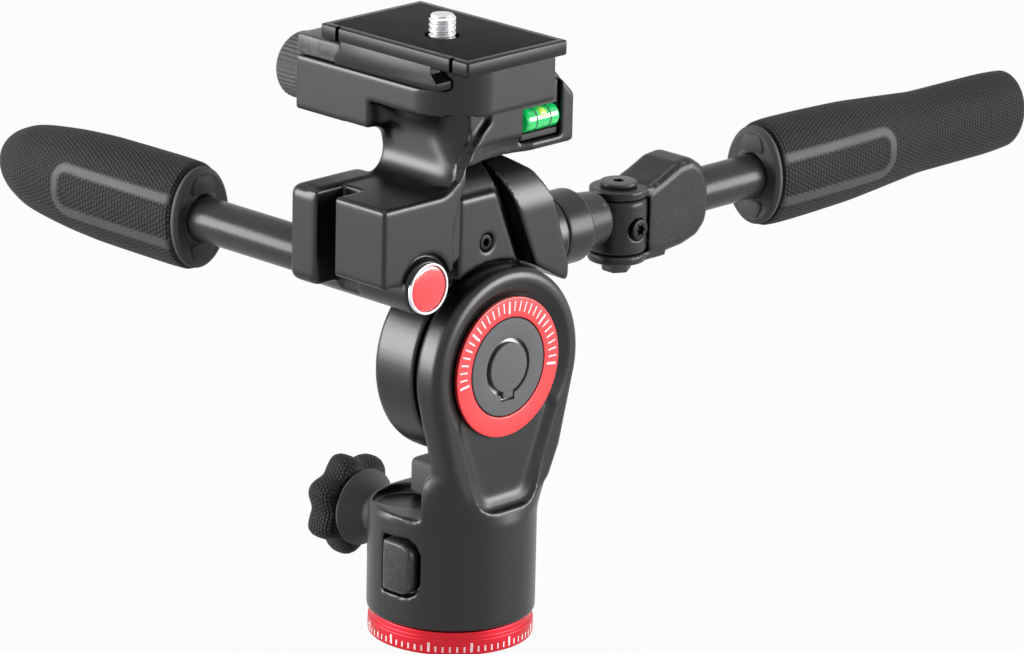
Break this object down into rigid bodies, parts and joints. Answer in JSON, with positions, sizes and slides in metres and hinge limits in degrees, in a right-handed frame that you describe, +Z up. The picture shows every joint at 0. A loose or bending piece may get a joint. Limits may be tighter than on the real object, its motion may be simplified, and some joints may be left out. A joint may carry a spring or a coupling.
{
  "type": "three way pan tilt head",
  "caption": "Tripod pan and tilt head: round base, tilt drum on a side paddle, tilting platform with a quick release clamp and bubble level, a side handle and a folding rear handle.",
  "frame": {"origin": "on the pan axis, in the plane of the lower face of the base ring", "axes": "+Z up along the pan axis, -Y to the front, where the side handle and its block are, +X to the side of the paddle"},
  "size_m": [0.1598, 0.2421, 0.1552],
  "materials": {
    "black_paint": "die cast, fine black textured paint",
    "red_metal": "turned and anodised red",
    "red_gloss": "glossy red",
    "grip_rubber": "matt black rubber",
    "black_plastic": "fine grained black plastic",
    "grey_plastic": "dark grey plastic",
    "black_aluminium": "anodised black",
    "steel": "bright turned steel",
    "bronze": "plain bearing bronze",
    "nylon": "natural nylon",
    "green_glass": "clear, filled with green liquid"
  },
  "bodies": {
    "base": {"base_ring": "red_metal", "base_plate": "black_aluminium", "tripod_thread_insert": "bronze", "pan_spindle": "steel", "base_screw_1": "steel", "base_screw_2": "steel", "base_screw_3": "steel"},
    "pan_head": {"body_casting": "black_paint", "pan_retaining_ring": "steel", "pan_drag_cartridge": "black_aluminium", "pan_bush": "bronze", "pan_brake_shoe": "nylon", "front_pad": "black_paint", "tilt_stop": "black_plastic", "tilt_mark_ring": "red_gloss", "tilt_face_disc": "grey_plastic", "tilt_cap": "grey_plastic", "tilt_axle": "steel", "tilt_axle_nut": "steel", "tilt_drag_rotor": "steel"},
    "pan_knob": {"pan_lock_bolt": "steel", "pan_knob_hub": "black_plastic", "pan_lock_knob": "grip_rubber"},
    "tilt_unit": {"tilt_casting": "black_paint", "tilt_bush": "bronze", "tilt_drag_housing": "black_aluminium", "tilt_seal": "grip_rubber", "drum_end_cap": "black_plastic", "carriage_rear_cover": "black_paint", "tilt_brake_rod": "steel", "lateral_shaft": "steel", "side_set_screw": "steel"},
    "platform": {"platform_casting": "black_paint", "lateral_bush": "bronze", "badge_rim": "steel", "badge_cap": "red_gloss", "level_frame": "black_plastic", "level_vial": "green_glass"},
    "clamp_knob_unit": {"clamp_knob": "black_plastic", "clamp_screw": "steel"},
    "jaw": {"clamp_jaw": "black_paint"},
    "plate": {"release_plate": "black_aluminium", "plate_pad": "grip_rubber"},
    "camera_stud": {"camera_screw": "steel"},
    "side_handle": {"side_bolt": "steel", "side_tube": "black_paint", "side_end_cap": "black_plastic", "side_grip": "grip_rubber"},
    "rear_collar": {"rear_hub": "black_paint", "fold_screw": "steel", "fold_pin": "steel", "fold_pin_nut": "black_plastic"},
    "rear_handle": {"rear_fork": "black_paint", "rear_tube": "black_paint", "rear_end_cap": "black_plastic", "rear_grip": "grip_rubber"}
  },
  "joints": [
    {"name": "pan", "type": "hinge", "parent": "base", "child": "pan_head", "pos_m": [0, 0, 0], "axis": [0, 0, 1], "continuous": true},
    {"name": "pan_lock", "type": "hinge", "parent": "pan_head", "child": "pan_knob", "pos_m": [-0.0204, 0, 0.023], "axis": [-1, 0, 0], "range_deg": [0, 270]},
    {"name": "front_tilt", "type": "hinge", "parent": "pan_head", "child": "tilt_unit", "pos_m": [0, 0, 0.0703], "axis": [1, 0, 0], "range_deg": [-38, 85]},
    {"name": "lateral_tilt", "type": "hinge", "parent": "tilt_unit", "child": "platform", "pos_m": [0, -0.0114, 0.1072], "axis": [0, 1, 0], "range_deg": [-33, 90]},
    {"name": "side_handle_twist", "type": "hinge", "parent": "platform", "child": "side_handle", "pos_m": [-0.018, -0.025, 0.0943], "axis": [-1, 0, 0], "range_deg": [0, 180]},
    {"name": "clamp_knob_turn", "type": "hinge", "parent": "platform", "child": "clamp_knob_unit", "pos_m": [-0.0334, -0.008, 0.1332], "axis": [-1, 0, 0], "range_deg": [0, 1440]},
    {"name": "jaw_slide", "type": "slide", "parent": "platform", "child": "jaw", "axis": [-1, 0, 0], "range_m": [0, 0.0028]},
    {"name": "plate_slide", "type": "slide", "parent": "platform", "child": "plate", "axis": [0, -1, 0], "range_m": [0, 0.04]},
    {"name": "camera_screw_turn", "type": "hinge", "parent": "plate", "child": "camera_stud", "pos_m": [0.0025, -0.009, 0.15], "axis": [0, 0, 1], "continuous": true},
    {"name": "rear_handle_twist", "type": "hinge", "parent": "tilt_unit", "child": "rear_collar", "pos_m": [0, 0.0294, 0.0942], "axis": [0, 1, 0], "range_deg": [0, 180]},
    {"name": "rear_handle_fold", "type": "hinge", "parent": "rear_collar", "child": "rear_handle", "pos_m": [0, 0.0552, 0.0915], "axis": [0, 0, 1], "range_deg": [0, 90]}
  ],
  "couplings": [
    {"joint": "jaw_slide", "follows": "clamp_knob_turn", "m_per_rad": 0.0001114}
  ]
}
